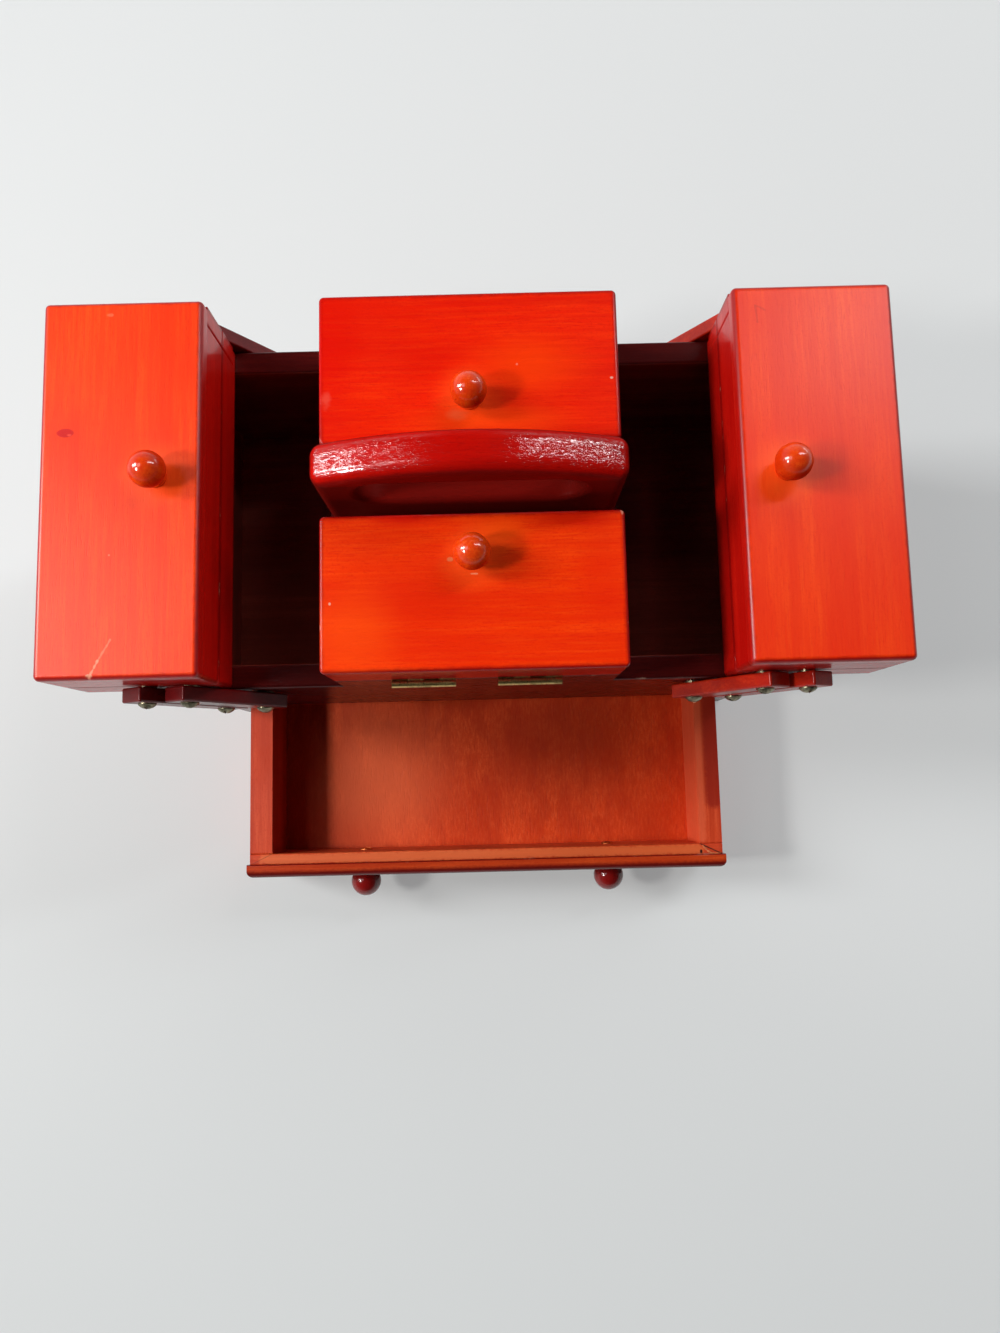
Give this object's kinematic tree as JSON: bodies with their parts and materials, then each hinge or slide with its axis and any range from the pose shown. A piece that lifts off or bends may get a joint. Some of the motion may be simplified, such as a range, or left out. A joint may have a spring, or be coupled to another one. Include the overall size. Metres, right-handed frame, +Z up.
{
  "type": "accordion sewing box",
  "caption": "Wooden accordion sewing box: lidded trays swing out on parallel links beside a lidded centre with an arched carrying handle, over a case with a pull-out drawer.",
  "frame": {"origin": "middle of the base's underside, the face that the box stands on", "axes": "+Z up, +X the box's right side seen from the drawer, -Y the front that the drawer opens towards"},
  "size_m": [0.3338, 0.2529, 0.208],
  "materials": {
    "lid_wood": "red stained and lacquered wood, grain showing",
    "case_wood": "dark red stained and lacquered wood",
    "handle_wood": "glossy dark red lacquered wood",
    "knob_wood": "glossy red lacquered wood",
    "drawer_wood": "matt red-brown stained wood",
    "link_wood": "dark red stained wood, worn edges",
    "hinge_brass": "dull aged brass",
    "screw_brass": "tarnished grey-green brass"
  },
  "bodies": {
    "case": {"base_panel": "case_wood", "case_floor": "case_wood", "case_front_wall": "case_wood", "case_left_wall": "case_wood", "case_pivot_screws": "screw_brass", "case_rear_wall": "case_wood", "case_right_wall": "case_wood", "centre_bottom": "case_wood", "centre_front_wall": "case_wood", "centre_hinge_leaves": "hinge_brass", "centre_hinge_pins": "hinge_brass", "centre_left_wall": "case_wood", "centre_partitions": "case_wood", "centre_rear_wall": "case_wood", "centre_right_wall": "case_wood", "drawer_guides": "drawer_wood", "handle_board": "handle_wood"},
    "drawer": {"drawer_back": "drawer_wood", "drawer_bottom": "drawer_wood", "drawer_box_front": "drawer_wood", "drawer_face_panel": "case_wood", "drawer_knobs": "knob_wood", "drawer_left_side": "drawer_wood", "drawer_right_side": "drawer_wood"},
    "left_inner_link_pair": {"left_inner_links": "link_wood"},
    "left_outer_link_pair": {"left_outer_links": "link_wood"},
    "left_tray": {"left_tray_bottom": "case_wood", "left_tray_front_wall": "case_wood", "left_tray_hinge_leaves": "hinge_brass", "left_tray_hinge_pins": "hinge_brass", "left_tray_inner_wall": "case_wood", "left_tray_outer_wall": "case_wood", "left_tray_pivot_screws": "screw_brass", "left_tray_rear_wall": "case_wood"},
    "left_lid": {"left_lid_frame": "lid_wood", "left_lid_hinge_leaves": "hinge_brass", "left_lid_knob": "knob_wood", "left_lid_top": "lid_wood"},
    "right_inner_link_pair": {"right_inner_links": "link_wood"},
    "right_outer_link_pair": {"right_outer_links": "link_wood"},
    "right_tray": {"right_tray_bottom": "case_wood", "right_tray_front_wall": "case_wood", "right_tray_hinge_leaves": "hinge_brass", "right_tray_hinge_pins": "hinge_brass", "right_tray_inner_wall": "case_wood", "right_tray_outer_wall": "case_wood", "right_tray_pivot_screws": "screw_brass", "right_tray_rear_wall": "case_wood"},
    "right_lid": {"right_lid_frame": "lid_wood", "right_lid_hinge_leaves": "hinge_brass", "right_lid_knob": "knob_wood", "right_lid_top": "lid_wood"},
    "front_lid": {"front_lid_frame": "lid_wood", "front_lid_hinge_leaves": "hinge_brass", "front_lid_knob": "knob_wood", "front_lid_top": "lid_wood"},
    "rear_lid": {"rear_lid_frame": "lid_wood", "rear_lid_hinge_leaves": "hinge_brass", "rear_lid_knob": "knob_wood", "rear_lid_top": "lid_wood"}
  },
  "joints": [
    {"name": "drawer_slide", "type": "slide", "parent": "case", "child": "drawer", "axis": [0, 1, 0], "range_m": [-0.024, 0.0855]},
    {"name": "front_lid_hinge", "type": "hinge", "parent": "case", "child": "front_lid", "pos_m": [0, -0.0751, 0.15], "axis": [1, 0, 0], "range_deg": [0, 180]},
    {"name": "rear_lid_hinge", "type": "hinge", "parent": "case", "child": "rear_lid", "pos_m": [0, 0.0751, 0.15], "axis": [-1, 0, 0], "range_deg": [0, 180]},
    {"name": "left_tray_swing", "type": "hinge", "parent": "case", "child": "left_inner_link_pair", "pos_m": [-0.0927, 0, 0.113], "axis": [0, 1, 0], "range_deg": [0, 67.3]},
    {"name": "left_outer_link_swing", "type": "hinge", "parent": "case", "child": "left_outer_link_pair", "pos_m": [-0.1097, 0, 0.113], "axis": [0, 1, 0], "range_deg": [0, 67.3]},
    {"name": "left_tray_level", "type": "hinge", "parent": "left_inner_link_pair", "child": "left_tray", "pos_m": [-0.1147, 0, 0.146], "axis": [0, 1, 0], "range_deg": [-67.3, 0]},
    {"name": "left_lid_hinge", "type": "hinge", "parent": "left_tray", "child": "left_lid", "pos_m": [-0.1653, 0, 0.15], "axis": [0, -1, 0], "range_deg": [0, 150]},
    {"name": "right_tray_swing", "type": "hinge", "parent": "case", "child": "right_inner_link_pair", "pos_m": [0.0927, 0, 0.113], "axis": [0, -1, 0], "range_deg": [0, 67.3]},
    {"name": "right_outer_link_swing", "type": "hinge", "parent": "case", "child": "right_outer_link_pair", "pos_m": [0.1097, 0, 0.113], "axis": [0, -1, 0], "range_deg": [0, 67.3]},
    {"name": "right_tray_level", "type": "hinge", "parent": "right_inner_link_pair", "child": "right_tray", "pos_m": [0.1147, 0, 0.146], "axis": [0, -1, 0], "range_deg": [-67.3, 0]},
    {"name": "right_lid_hinge", "type": "hinge", "parent": "right_tray", "child": "right_lid", "pos_m": [0.1653, 0, 0.15], "axis": [0, 1, 0], "range_deg": [0, 150]}
  ],
  "couplings": [
    {"joint": "left_outer_link_swing", "follows": "left_tray_swing", "ratio": 1},
    {"joint": "left_tray_level", "follows": "left_tray_swing", "ratio": -1},
    {"joint": "right_outer_link_swing", "follows": "right_tray_swing", "ratio": 1},
    {"joint": "right_tray_level", "follows": "right_tray_swing", "ratio": -1}
  ]
}
